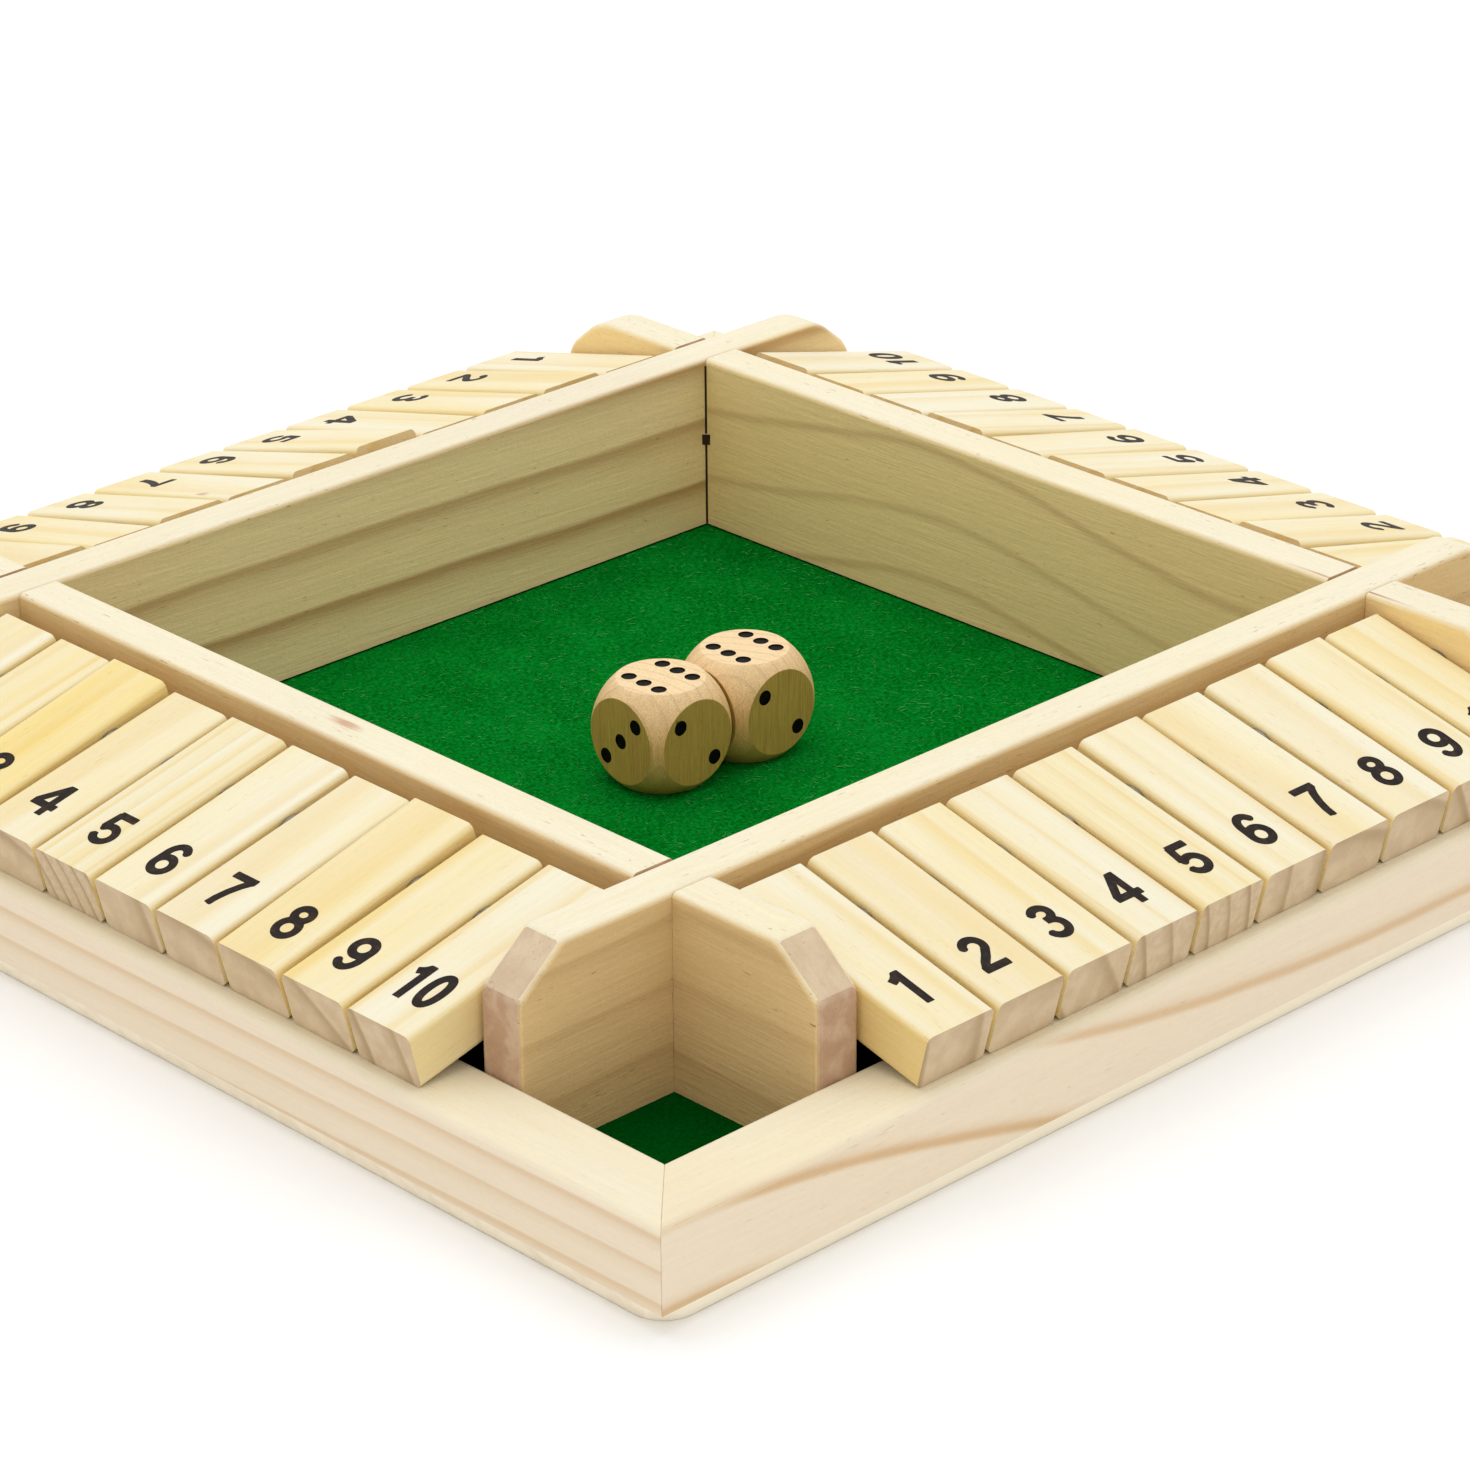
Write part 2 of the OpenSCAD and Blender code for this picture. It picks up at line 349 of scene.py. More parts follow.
# the dark lines of the rings, greyer in end grain
showing = times(pine, ramp(pine, end, 0.0, 1.0, 1.0, given["End rings"], "LINEAR"),
                less(pine, 1.0, times(pine, flat, given["Flat fading"])))
darkness = times(pine, times(pine, late, strength), showing, clamp=True)
ring_wood = blend_of(pine, times(pine, end, 0.8), given["Ring wood"], shade(150, 124, 100))
colour = blend_of(pine, darkness, colour, ring_wood)

# fibres, resin dashes and the mark
threads = add(pine, times(pine, add(pine, fibre, times(pine, fine, 0.7)), given["Fibres"]),
              times(pine, fuzz, given["Fuzz"]))
colour = vector_math(pine, "SCALE", colour, add(pine, threads, 1.0))
spot = ramp(pine, grit(pine, log, (2.4, 0.2, 0.2), 1.0), 0.69, 0.76)
patch = ramp(pine, grit(pine, log, (30, 3, 3), 1.0), 0.46, 0.6)
dash = times(pine, times(pine, spot, patch), given["Dashes"])
dashed = blend_of(pine, 1.0, colour, shade(170, 125, 80), "MULTIPLY")
colour = blend_of(pine, dash, colour, dashed)
from_mark = vector_math(
    pine, "DIVIDE", vector_math(pine, "SUBTRACT", log, stored(pine, "mark")),
    stored(pine, "mark size"))
near_mark = ramp(pine, add(pine, vector_math(pine, "LENGTH", from_mark), fibre), 1.0, 0.2)
marking = times(pine, near_mark, add(pine, 0.65, times(pine, fine, 1.2)), clamp=True)
feed(pine, taken["Colour"], blend_of(pine, marking, colour, given["Mark wood"]))
feed(pine, taken["Roughness"], add(
    pine, times(pine, fibre, 0.25), add(pine, times(pine, end, 0.1), 0.58)))
standing = add(pine, add(pine, fibre, times(pine, fine, 0.6)),
               add(pine, times(pine, late, 0.5), times(pine, fuzz, 0.5)))
feed(pine, taken["Height"], less(pine, standing, add(pine, dash, marking)))


def finish_with(name, group, values, gloss=0.3, relief=0.0002, strength=0.35):
    """A material whose colour, roughness and relief come from one node group."""
    material = bpy.data.materials.new(name)
    material.use_nodes = True
    tree = material.node_tree
    surface = tree.nodes["Principled BSDF"]
    surface.inputs["Specular IOR Level"].default_value = gloss
    pattern = tree.nodes.new("ShaderNodeGroup")
    pattern.node_tree = group
    for label, value in values.items():
        pattern.inputs[label].default_value = value
    feed(tree, surface.inputs["Base Color"], pattern.outputs["Colour"])
    feed(tree, surface.inputs["Roughness"], pattern.outputs["Roughness"])
    bump = tree.nodes.new("ShaderNodeBump")
    bump.inputs["Distance"].default_value = relief
    bump.inputs["Strength"].default_value = strength
    feed(tree, bump.inputs["Height"], pattern.outputs["Height"])
    feed(tree, surface.inputs["Normal"], bump.outputs["Normal"])
    return material


def out_from_middle(spot):
    """How far out a spot lies, along x or y, whichever is more."""
    return max(abs(spot.x), abs(spot.y))


UP = Vector((0, 0, 1))
FOOT = 0.0006                       # height of the rounding along the foot
FOOT_TUCK = 0.016                   # how far its lowest points are drawn in, as a share
BORDER, FOOT_SHADE_FROM = 0.109, 0.1    # how far out from the middle the tucked border, and the painted shade along the foot, start
base_pine = finish_with("base pine", pine, {
    "Pale wood": shade(250, 240, 218), "Yellow wood": shade(244, 228, 192), "Streaks": 0.25,
    "Fibres": 0.07, "Fuzz": 0.05, "Dashes": 0.2, "Flat fading": 0.3, "End wood": shade(246, 234, 210),
    "End cover": 0.9, "End rings": 0.3})
base = broken_edges("pine_base_board", "base_board", soften=FOOT, steps=4,
                    spare=lambda edge: max(v.co.z for v in edge.verts) > 0.001)
for vert in base.data.vertices:
    if vert.co.z < FOOT and out_from_middle(vert.co) > BORDER:
        tucked = 1 - FOOT_TUCK * (1 - vert.co.z / FOOT) ** 2
        vert.co.x, vert.co.y = vert.co.x * tucked, vert.co.y * tucked
from_the_log(base, (1, 0, 0), UP, serial=1, spacing=9, line=2, slope=0.01, tone=0.15, side=25,
             rings=(0.25, 0.5))
base.data.materials.append(base_pine)
# the lowest faces of the border are painted grey, as painted shade under the foot
base.data.materials.append(finish_with("rubbed pine", pine, {
    "Pale wood": shade(104, 96, 82), "Yellow wood": shade(88, 78, 62), "End wood": shade(92, 84, 72)}))
for face in base.data.polygons:
    if face.center.z < FOOT and face.normal.z > -0.99 and out_from_middle(face.center) > FOOT_SHADE_FROM:
        face.material_index = 1
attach(base, "board")


# ------------------------------------------------------------------ Rails
# The real pieces are four low pine strips with rounded top edges, mitred at the corners and
# glued to the base board and to each other. Soft tan rings run along their outer sides.

ROWS = ("front", "left", "back", "right")
OUTER_ROUND, INNER_ROUND, ROUND_STEPS = 0.002, 0.0012, 8
MITRE_GAP, MITRE_EDGE = 0.000015, 0.00006
ABOVE_FOOT = 1e-5


def quarter_turns(side):
    return Matrix.Rotation(-math.pi / 2 * ROWS.index(side), 3, "Z")


def walls_between(work, one, other):
    """Joins two loops of points by a face for each step."""
    for k in range(len(one)):
        m = (k + 1) % len(one)
        work.faces.new((one[k], one[m], other[m], other[k]))


def mitred_strip(side):
    """A rail planed to its section, rounded along the top and cut off at 45 degrees."""
    low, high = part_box("rail_front")
    section = [(low.y, low.z)]
    for y, size, start in ((low.y + OUTER_ROUND, OUTER_ROUND, 180),
                           (high.y - INNER_ROUND, INNER_ROUND, 90)):
        for step in range(ROUND_STEPS + 1):
            a = math.radians(start - 90 * step / ROUND_STEPS)
            section.append((y + size * math.cos(a), high.z - size + size * math.sin(a)))
    section.append((high.y, low.z))
    strip = bmesh.new()
    ends = [[strip.verts.new((end * (abs(y) - MITRE_GAP), y, z)) for y, z in section]
            for end in (-1, 1)]
    walls_between(strip, *ends)
    caps = [strip.faces.new(end) for end in ends]
    bmesh.ops.recalc_face_normals(strip, faces=strip.faces)
    seams = [edge for cap in caps for edge in cap.edges
             if max(v.co.z for v in edge.verts) > low.z + ABOVE_FOOT]
    bmesh.ops.bevel(strip, geom=seams, offset=MITRE_EDGE, segments=1, profile=0.5, affect="EDGES")
    bmesh.ops.transform(strip, matrix=quarter_turns(side).to_4x4(), verts=strip.verts)
    rail = shown("pine_rail_" + side, mesh_of("pine_rail_" + side, strip))
    smooth(rail)
    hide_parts("rail_" + side)
    return rail


# grain, crown, ring spacing, height of a ring, its climb, its swell, strength and softness
rail_grain = {
    "front": ((1, 0, 0), -UP, 11.3, 3.2, 0.0, (-112, 75, -20), (0.75, 0.22)),
    "left": ((0, -1, 0), UP, 4.6, -2.0, 0.018, (-80, 40, 1.5), (0.45, 0.6)),
    "back": ((1, 0, 0), UP, 7.5, 1.0, 0.02, (60, 60, 5), (0.5, 0.4)),
    "right": ((0, 1, 0), UP, 9.0, -2.0, -0.03, (-30, 50, 4), (0.55, 0.35))}
rail_pine = finish_with("rail pine", pine, {
    "Pale wood": shade(239, 230, 206), "Yellow wood": shade(235, 218, 172),
    "Shaded side wood": shade(234, 214, 188), "Ring wood": shade(206, 164, 108), "Flat fading": 0.85,
    "Wander": 0.8, "Streaks": 0.55, "Fibres": 0.08, "Fuzz": 0.06, "Dashes": 0.2, "End rings": 1.0})
for number, (side, (*lie, rings)) in enumerate(rail_grain.items(), 10):
    rail = mitred_strip(side)
    grain, crown, spacing, line, slope, swell = lie
    # the sides are painted in shade, darker than the tops
    from_the_log(rail, grain, crown, number, spacing, line, slope, swell, tone=0.3, side=6,
                 rings=rings, side_shade=0.65)
    rail.data.materials.append(rail_pine)
    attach(rail, "board")


# ------------------------------------------------------------------ Felt
# The real piece is one thin sheet of green wool felt, glued to the base board inside the rails,
# with the dividers standing on it. Pale loose fibres lie on it in the tray and the corner wells.

felt_low, felt_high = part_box("felt_sheet")
felt_half = felt_high.x
CELLS, UNEVEN = 120, 0.00007     # squares along a side, and how far their corners lie off level
RIM, RIM_DROP = 0.0005, 0.00025  # width of the cut edge, and how far it is pressed down
sheet = bmesh.new()
bmesh.ops.create_grid(sheet, x_segments=CELLS, y_segments=CELLS, size=felt_half)
random.seed(11)
for vert in sheet.verts:
    drop = RIM_DROP if out_from_middle(vert.co) > felt_half - RIM else 0.0
    vert.co.z = felt_high.z - random.uniform(0.0, UNEVEN) - drop
skin = bmesh.ops.extrude_face_region(sheet, geom=sheet.faces[:])
for vert in (item for item in skin["geom"] if isinstance(item, bmesh.types.BMVert)):
    vert.co.z = felt_low.z
bmesh.ops.recalc_face_normals(sheet, faces=sheet.faces)
felt = shown("green_felt", mesh_of("green_felt", sheet))
smooth(felt, 50)
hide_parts("felt_sheet")

# Matted wool: a mottled nap of short crossed fibres, with painted shade: duller in the corner
# wells, and almost black from the dividers out to the rails, under the tile rows
wool, given, taken = new_group(
    "matted wool",
    [("Dark wool", "Color", shade(0, 85, 16)), ("Light wool", "Color", shade(12, 145, 47)),
     ("Well shade wool", "Color", shade(0, 62, 12)), ("Nap size", "Float", 1.0), ("Well shading", "Float", 0.8)])
place = own_place(wool)
sized = vector_math(wool, "SCALE", place, calc(wool, "DIVIDE", 1000.0, given["Nap size"]))
nap = calc(wool, "MAXIMUM", grit(wool, sized, (1.0, 0.14, 0.5)), grit(wool, sized, (0.14, 1.0, 0.5)))
lumps = grit(wool, sized, (0.8, 0.8, 0.8), 3.0)
clouds = add(wool, times(wool, grit(wool, sized, (9, 9, 9)), 0.6), 0.2)
mixing = add(wool, ramp(wool, nap, 0.42, 0.72),
             times(wool, less(wool, add(wool, lumps, clouds), 1.0), 1.1), clamp=True)
off_x, off_y, _ = parts_of(wool, vector_math(wool, "ABSOLUTE", place))
in_well = ramp(wool, calc(wool, "MINIMUM", off_x, off_y), 0.069, 0.073)
# painted shade: almost black from the dividers out to the rails, except in the wells
wall_shade = times(wool, ramp(wool, calc(wool, "MAXIMUM", off_x, off_y), 0.0650, 0.0657),
                less(wool, 1.0, in_well))
colour = blend_of(wool, mixing, given["Dark wool"], given["Light wool"])
# painted shade: duller in the corner wells
colour = blend_of(wool, times(wool, in_well, given["Well shading"]), colour, given["Well shade wool"])
feed(wool, taken["Colour"], blend_of(wool, wall_shade, colour, shade(0, 26, 4)))
feed(wool, taken["Roughness"], ramp(wool, lumps, 0.0, 1.0, 0.82, 1.0, "LINEAR"))
feed(wool, taken["Height"], add(wool, nap, times(wool, lumps, 0.8)))

felt.data.materials.append(finish_with("green felt", wool, {}, gloss=0.0, relief=0.0002, strength=0.7))
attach(felt, "board")

TRAY_HALF, WELL_FROM = 0.0658, 0.0732  # where the tray ends and a well starts, from the middle
TUBE_STEPS, TUBE_SIDES, FIBRE_LIFT = 4, (90, 210, 330), 0.00012
fluff = bmesh.new()
random.seed(29)


def loose_fibre(x, y, length, heading, bend, thick):
    """One hair of wool: a thin three-sided tube that lies on the felt with a slight bend."""
    rings = []
    for step in range(TUBE_STEPS + 1):
        share = step / TUBE_STEPS
        turn = heading + bend * (share - 0.5)
        reach = length * (share - 0.5)
        lift = thick * 0.5 + FIBRE_LIFT * math.sin(share * math.pi)
        centre = Vector((x + reach * math.cos(turn), y + reach * math.sin(turn), felt_high.z + lift))
        beside = Vector((-math.sin(turn), math.cos(turn), 0))
        size = thick * (0.35 if step in (0, TUBE_STEPS) else 0.5)
        rings.append([
            fluff.verts.new(centre + beside * size * math.cos(a) + UP * size * math.sin(a))
            for a in map(math.radians, TUBE_SIDES)])
    for one, other in zip(rings, rings[1:]):
        walls_between(fluff, one, other)
    fluff.faces.new(rings[0][::-1])
    fluff.faces.new(rings[-1])


def scatter_fibres(count, across, along):
    """Lays fibres by chance, each whole within a span across and a span along."""
    for _ in range(count):
        length = 0.0006 + 0.0016 * random.random() ** 2
        keep = length * 0.55
        x, y = (random.uniform(low + keep, high - keep) for low, high in (across, along))
        loose_fibre(x, y, length, random.uniform(0, math.pi), random.uniform(-1.1, 1.1),
                    random.uniform(0.00004, 0.00007))


corners = [(sx, sy) for sx in (-1, 1) for sy in (-1, 1)]
scatter_fibres(4200, (-TRAY_HALF, TRAY_HALF), (-TRAY_HALF, TRAY_HALF))
for sx, sy in corners:
    scatter_fibres(110, *(sorted((side * WELL_FROM, side * felt_half)) for side in (sx, sy)))
bmesh.ops.recalc_face_normals(fluff, faces=fluff.faces)
fibres = shown("felt_fibres", mesh_of("felt_fibres", fluff))
fibres.data.shade_smooth()
fibres.data.materials.append(finish_with("loose wool", wool, {
    "Dark wool": shade(14, 136, 52), "Light wool": shade(112, 202, 120), "Nap size": 3.0}, gloss=0.1))
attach(fibres, "board")


# ------------------------------------------------------------------ Dividers
# The real pieces are four pine boards, halved over each other where they cross. Their top edges
# are rounded and the ends, clipped at the corner, run on to the rails and carry the pivot rods.

EAR_RUN, EAR_DROP = 0.008, 0.0066                          # the clipped corner of an ear
EDGE_ROUND, NEAR_ROUND, FAR_ROUND = 0.00095, 0.0008, 0.003  # along the top, and at the two ears
SPARE_SKIN = 0.00001


def rounded_board(node):
    """A divider's outline with its ears, rounded along every edge that a hand can reach.

    It stands SPARE_SKIN proud of the divider all round, so that the cut meets no face in its plane.
    """
    low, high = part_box(node)
    wide = high - low
    long_way = 0 if wide.x > wide.y else 1
    half_long = wide[long_way] / 2 + SPARE_SKIN
    half_thick = wide[1 - long_way] / 2 + SPARE_SKIN
    top, foot = high.z + SPARE_SKIN, low.z - SPARE_SKIN
    centre = (low + high) / 2
    profile = [(-half_long, foot), (half_long, foot), (half_long, top - EAR_DROP),
               (half_long - EAR_RUN, top), (EAR_RUN - half_long, top), (-half_long, top - EAR_DROP)]

    def place(along, across, z):
        return (centre.x + (along if long_way == 0 else across),
                centre.y + (across if long_way == 0 else along), z)

    board = bmesh.new()
    sides = [[board.verts.new(place(along, across, z)) for along, z in profile]
             for across in (-half_thick, half_thick)]
    walls_between(board, *sides)
    board.faces.new(sides[0])
    board.faces.new(sides[1])
    bmesh.ops.recalc_face_normals(board, faces=board.faces)
    for end, rounding in ((-1, NEAR_ROUND), (1, FAR_ROUND)):
        turns = [edge for edge in board.edges
                 if min(v.co.z for v in edge.verts) > top - EAR_DROP - SAME_SPOT
                 and abs(edge.verts[0].co[long_way] - edge.verts[1].co[long_way]) < SAME_SPOT
                 and (edge.verts[0].co[long_way] - centre[long_way]) * end > 0]
        bmesh.ops.bevel(board, geom=turns, offset=rounding, segments=6, profile=0.5, affect="EDGES")
    rims = [edge for edge in board.edges
            if max(v.co.z for v in edge.verts) > foot + ABOVE_FOOT
            and abs(edge.verts[0].co[1 - long_way] - edge.verts[1].co[1 - long_way]) < SAME_SPOT]
    bmesh.ops.bevel(board, geom=rims, offset=EDGE_ROUND, segments=5, profile=0.5, affect="EDGES")
    return mesh_of("board outline", board)


# grain, ring spacing, height of a ring, its climb, its swell, strength and softness, how dark
# the sides are painted in shade, and a knot or splinter: its place from the middle, its length and width
divider_grain = {
    "front": ((1, 0, 0), 9.5, 3.0, 0.02, (40, 60, 4), (0.35, 0.45), 0.85, NO_MARK),
    "left": ((0, -1, 0), 10.5, 3.4, -0.02, (-60, 50, 5), (0.35, 0.45), 0.85,
             ((0.4, -3.5, 14.5), (9, 2.6))),
    "back": ((1, 0, 0), 10.7, 4.9, -0.023, (0, 40, 0), (0.9, 0.6), 0.65, NO_MARK),
    "right": ((0, -1, 0), 11.3, -7.5, 0.0, (-12, 42, 9), (0.4, 0.15), 0.8,
              ((-2.9, -68, 14.3), (32, 0.7)))}
divider_pine = finish_with("divider pine", pine, {
    "Pale wood": shade(237, 229, 208), "Yellow wood": shade(236, 222, 170),
    "Ring wood": shade(184, 144, 90), "Shaded side wood": shade(220, 184, 120), "Flat fading": 0.9,
    "Mark wood": shade(190, 128, 84), "Wander": 1.4, "Streaks": 0.5, "Fibres": 0.12, "Fuzz": 0.12,
    "Dashes": 0.7, "End wood": shade(184, 148, 120), "End cover": 0.95, "End rings": 0.5})
# a copy with lighter painted shade on the sides: painted light for the inner walls of the back and right
# dividers
lit_divider_pine = divider_pine.copy()
lit_divider_pine.name = "lit divider pine"
for node in lit_divider_pine.node_tree.nodes:
    if node.type == "GROUP":
        node.inputs["Shaded side wood"].default_value = shade(244, 210, 136)
for number, (side, lie) in enumerate(divider_grain.items(), 20):
    grain, spacing, line, slope, swell, rings, side_shade, mark = lie
    node = "divider_" + side
    divider = broken_edges("pine_" + node, node, soften=0.0002, outline=rounded_board(node),
                           spare=lambda edge: edge.calc_length() < 0.0004)
    from_the_log(divider, grain, UP, number, spacing, line, slope, swell, tone=0.3, side=4,
                 rings=rings, side_shade=side_shade, mark=mark, cut=0.6)
    # the back and right dividers take the copy with lighter painted shade
    divider.data.materials.append(divider_pine if side in ("front", "left") else lit_divider_pine)
    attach(divider, "board")

# dark sticks in the four corners of the tray, and one in a notch in the far one: glue, and the painted
# shadow of the slightly open seams
SEAM, NOTCH = 0.00028, 3.4 * 0.00028
NOTCH_FOOT, NOTCH_TOP, BELOW_EDGE = 0.0182, 0.02, 0.0012
low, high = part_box("divider_front")
seam_half = -high.y + SPARE_SKIN
seam_work = bmesh.new()


def dark_seam(sx, sy, size, foot, top):
    """A dark three-sided stick that fills one corner of the tray, as glue and painted shadow."""
    x, y = sx * seam_half, sy * seam_half
    outline = [(x, y), (x - sx * size, y), (x, y - sy * size)]
    ends = [[seam_work.verts.new((*spot, z)) for spot in outline] for z in (foot, top)]
    walls_between(seam_work, *ends)
    seam_work.faces.new(ends[0])
    seam_work.faces.new(ends[1])


for sx, sy in corners:
    dark_seam(sx, sy, SEAM, felt_high.z, high.z - BELOW_EDGE)
dark_seam(1, 1, NOTCH, NOTCH_FOOT, NOTCH_TOP)
bmesh.ops.recalc_face_normals(seam_work, faces=seam_work.faces)
seams = shown("lap_seams", mesh_of("lap_seams", seam_work))
from_the_log(seams, UP, (1, 0, 0), serial=27, spacing=3, line=0)
seams.data.materials.append(finish_with("dark seam", pine, {
    "Pale wood": shade(58, 42, 26), "Yellow wood": shade(40, 28, 16), "Fibres": 0.3}, gloss=0.1))
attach(seams, "board")


# ------------------------------------------------------------------ Rods and washers
# The real pieces are four drawn steel rods, set in blind holes in the divider ends, and a thin
# punched washer on each side of every tile. Only slivers of grey metal show between the tiles.

worn_metal, given, taken = new_group(
    "worn metal",
    [("Bright metal", "Color", shade(190, 190, 192)), ("Dull metal", "Color", shade(120, 118, 116)),
     ("Smoothness", "Float", 0.3)])
place = own_place(worn_metal, 1000.0)
scratches = grit(worn_metal, place, (12, 12, 0.12))
stains = grit(worn_metal, place, (2.5, 2.5, 2.5), 4.0)
feed(worn_metal, taken["Colour"], blend_of(
    worn_metal, ramp(worn_metal, stains, 0.45, 0.75), given["Bright metal"], given["Dull metal"]))
feed(worn_metal, taken["Roughness"], add(
    worn_metal, given["Smoothness"], times(worn_metal, add(worn_metal, scratches, stains), 0.15)))
feed(worn_metal, taken["Height"], scratches)


def metal(name, values):
    material = finish_with(name, worn_metal, values, gloss=0.5, relief=0.00005, strength=0.3)
    material.node_tree.nodes["Principled BSDF"].inputs["Metallic"].default_value = 1.0
    return material


rod_steel = metal("drawn steel", {})
washer_steel = metal("punched steel", {
    "Bright metal": shade(150, 140, 126), "Dull metal": shade(84, 76, 64), "Smoothness": 0.42})
for side in ROWS:
    rod = broken_edges("steel_rod_" + side, "pivot_rod_" + side, soften=0.0004)
    rod.data.materials.append(rod_steel)
    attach(rod, "board")
washers = broken_edges("steel_washers", "rod_washers", soften=0.00008)
washers.data.materials.append(washer_steel)
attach(washers, "board")


# ------------------------------------------------------------------ Tiles
# The real pieces are forty pine blocks with rounded long edges, each bored for the rod near one
# end. They are cut from many strips, so streaks and rings differ from one tile to the next.

# in millimetres: the row and its rod, a tile from bore to numbered end, its thickness, how far
# that end lies below the bore, and how far some tiles stand above others
TILE_COUNT, TILE_PITCH = 10, 13.1
PIVOT_OUT, ROD_Z = 86.5, 24.8
TILE_REACH, TILE_T, REST_DROP = 24.3, 8.2, 9.75
SCATTER, PROUD_BY = 0.2, 0.5
PROUD = {("left", 3), ("left", 8), ("back", 5), ("back", 6), ("front", 2)}


def tile_lie(row, i):
    """Middle of the bore in millimetres, the ways right, outwards and up on the tile's own top,
    and the height of that top above the bore."""
    ride = SCATTER * math.sin(math.radians(137 * i + 61 * ROWS.index(row)))
    ride += PROUD_BY * ((row, i) in PROUD)
    below = TILE_T / 2 - ride
    slope = math.asin(REST_DROP / math.hypot(TILE_REACH, below)) - math.atan(below / TILE_REACH)
    turn = quarter_turns(row)
    bore = turn @ Vector(((i - (TILE_COUNT + 1) / 2) * TILE_PITCH, -PIVOT_OUT, ROD_Z))
    outwards = turn @ Vector((0, -math.cos(slope), -math.sin(slope)))
    above = turn @ Vector((0, -math.sin(slope), math.cos(slope)))
    return bore, turn @ Vector((1, 0, 0)), outwards, above, ride + TILE_T / 2


# lean of the rings, where one crosses the top, ring spacing, yellowness
tile_rings = {
    ("front", 1): (8, 3.6, 10.0, 0.15), ("front", 2): (75, 3.5, 12.0, 0.2),
    ("front", 3): (30, 1.2, 9.0, 0.3), ("front", 4): (8, 1.6, 5.0, 0.1),
    ("front", 5): (5, 0.5, 4.0, 0.35), ("front", 6): (6, -1.5, 7.0, 0.15),
    ("front", 7): (70, -2.5, 12.0, 0.2), ("front", 8): (65, 1.0, 11.0, 0.1),
    ("front", 9): (30, 4.0, 8.0, 0.25), ("front", 10): (15, 1.0, 6.0, 0.4),
    ("left", 4): (80, 1.0, 9.0, 0.3), ("left", 5): (40, 0.0, 2.8, 0.3),
    ("left", 6): (5, 4.2, 12.0, 0.1), ("left", 7): (75, -2.0, 12.0, 0.1),
    ("left", 8): (70, 0.5, 10.0, 0.5), ("left", 9): (45, -3.5, 9.0, 0.45),
    ("left", 10): (12, 3.0, 7.5, 0.2), ("left", 3): (45, 0.0, 8.0, 0.7)}
tile_pine = finish_with("tile pine", pine, {
    "Pale wood": shade(238, 231, 205), "Yellow wood": shade(238, 213, 134),
    "Ring wood": shade(228, 192, 108), "Shaded side wood": shade(234, 204, 126),
    "Mark wood": shade(172, 84, 56), "Flat fading": 0.3, "Wander": 0.5, "Streaks": 0.95, "Fibres": 0.08,
    "Fuzz": 0.05, "Dashes": 0.25, "End wood": shade(194, 168, 138), "End cover": 0.85, "End rings": 1.6})
tile_marks = {("back", 7): ((-3.9, -2.2, 4.1), (4, 1.5))}
random.seed(5)
for row in ROWS:
    for i in range(1, TILE_COUNT + 1):
        node = "tile_%s_%d" % (row, i)
        tile = broken_edges("pine_" + node, node, soften=0.0002,
                            spare=lambda edge: edge.calc_length() < 0.00032)
        bore, right, outwards, above, top = tile_lie(row, i)
        by_chance = [random.uniform(*span) for span in ((15, 75), (-4, 4), (6, 12), (0.1, 0.45))]
        lean, crossing, spacing, yellow = tile_rings.get((row, i), by_chance)
        lean = math.radians(lean)
        crown = right * math.cos(lean) + above * math.sin(lean)
        # the tile sides are painted in shade, and the inner ends, which face the dividers, painted paler
        # as painted light
        from_the_log(tile, outwards, crown, 40 + 10 * ROWS.index(row) + i, spacing,
                     crossing * math.cos(lean) + top * math.sin(lean), slope=random.uniform(-0.02, 0.02),
                     tone=yellow, side=random.uniform(-12, 12), middle=bore, rings=(0.55, 0.5), side_shade=0.6,
                     mark=tile_marks.get((row, i), NO_MARK), top_way=above, back_end=0.3)
        tile.data.materials.append(tile_pine)
        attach(tile, node)


# ------------------------------------------------------------------ Numbers
# The real numbers are stamped on the tiles in brown-black ink, in plain bold figures that read
# from outside the board. Here each is a skin of ink, a few hundredths of a millimetre thick.

TALL, STROKE = 7.1, 1.32                     # a figure's height and line width, in millimetres
INK_PROUD, INK_DEEP = 0.03, 0.05             # how far the ink stands up and sinks in
CELL, HALF_WIDE, HALF_HIGH = 0.13, 4.3, 4.2  # the squares that a figure is traced on


def arc(cx, cy, rx, ry, start, stop, steps=20, fullness=2.0):
    """Points along part of an oval, from one angle to another, in degrees.

    A fullness above 2 squares the oval up.
    """
    points = []
    for k in range(steps + 1):
        a = math.radians(start + (stop - start) * k / steps)
        c, s = math.cos(a), math.sin(a)
        points.append((cx + rx * math.copysign(abs(c) ** (2 / fullness), c),
                       cy + ry * math.copysign(abs(s) ** (2 / fullness), s)))
    return points


